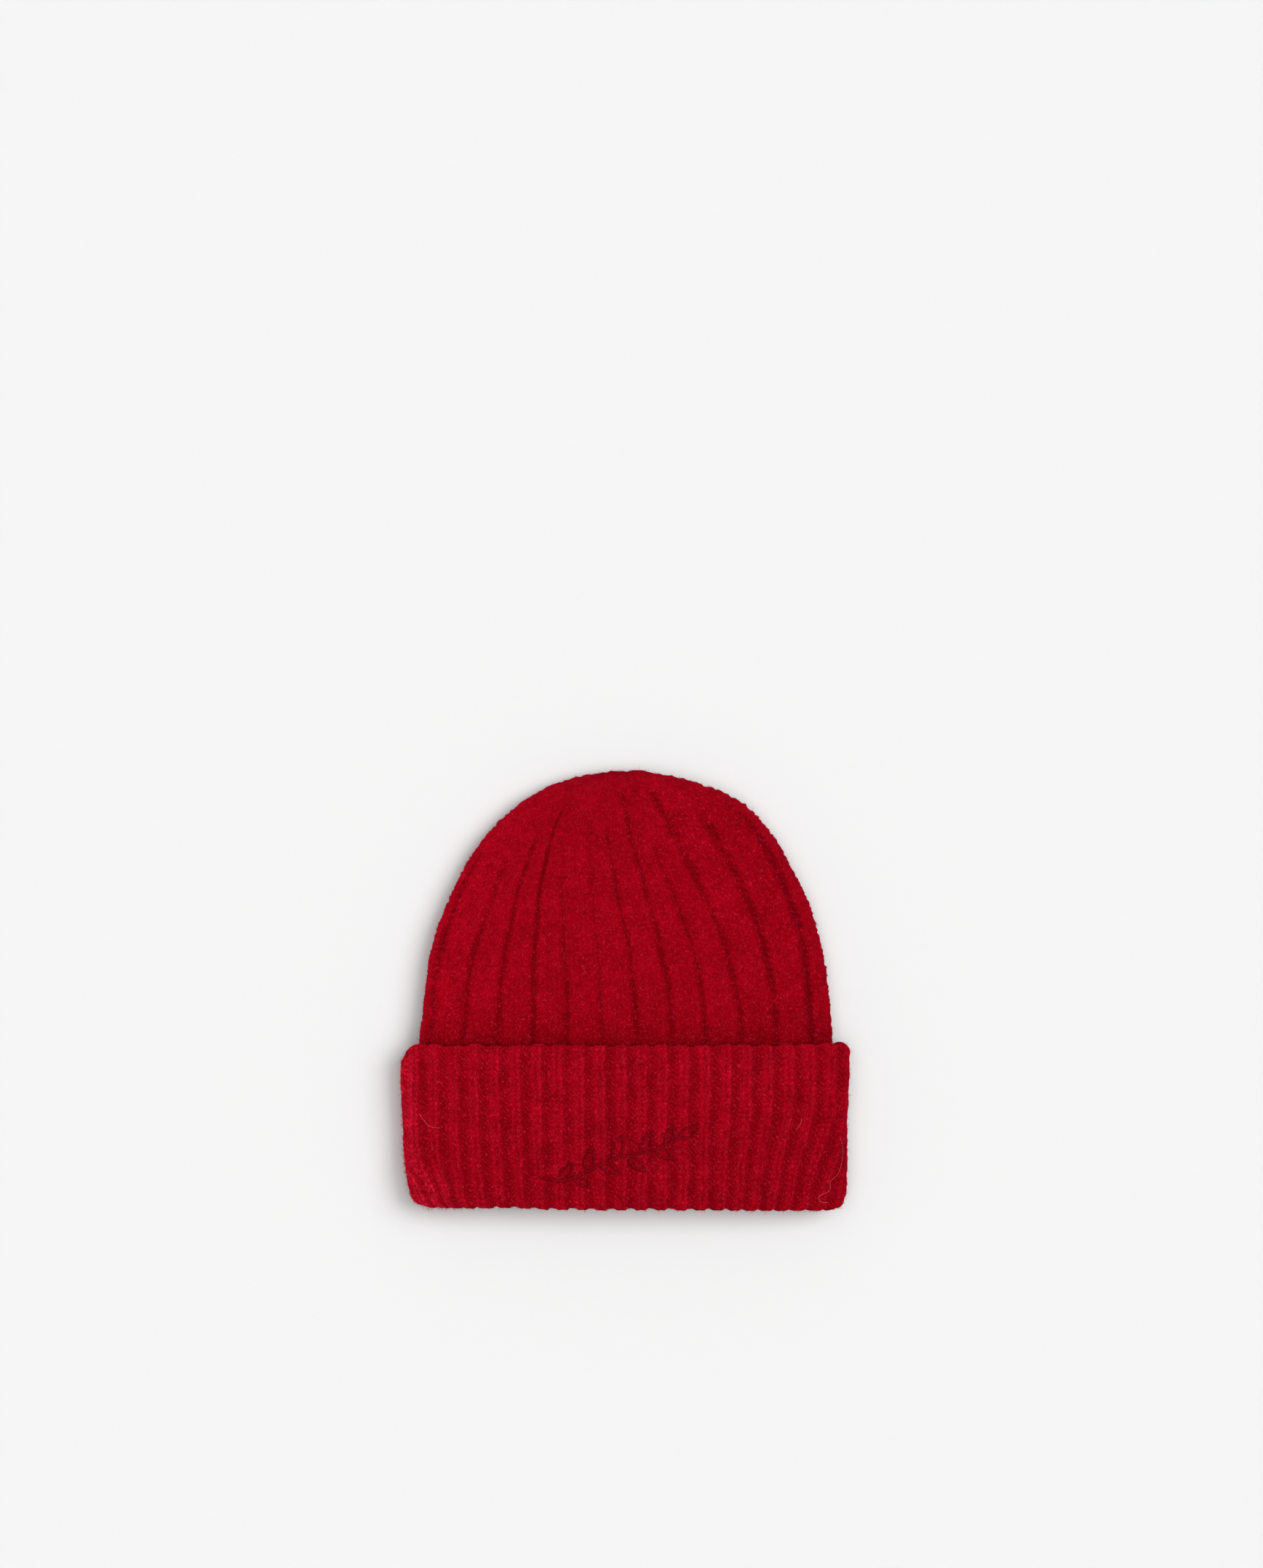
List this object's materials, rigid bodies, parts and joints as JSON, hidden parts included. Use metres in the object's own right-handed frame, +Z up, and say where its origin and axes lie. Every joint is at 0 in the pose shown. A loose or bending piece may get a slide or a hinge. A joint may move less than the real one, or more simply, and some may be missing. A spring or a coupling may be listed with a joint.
{
  "type": "cuffed knit beanie",
  "caption": "Rib-knit beanie with a turned-up cuff, lying flat on its back, hollow and open at the hem, its wide crown ribs gathered at the tip.",
  "frame": {"origin": "middle of the beanie's box on the surface that it lies on", "axes": "+Z up, out of the front face; +Y from the hem to the closed tip; +X across the beanie to the right, seen from the front"},
  "size_m": [0.2198, 0.215, 0.0264],
  "materials": {
    "crown_knit": "brushed red wool in wide soft ribs, matt, with short lighter fibres",
    "cuff_rib_knit": "red wool in narrow two-by-two rib, matt, its stitches showing more than the crown's"
  },
  "bodies": {
    "root": {"crown": "crown_knit", "cuff": "cuff_rib_knit"}
  },
  "joints": []
}
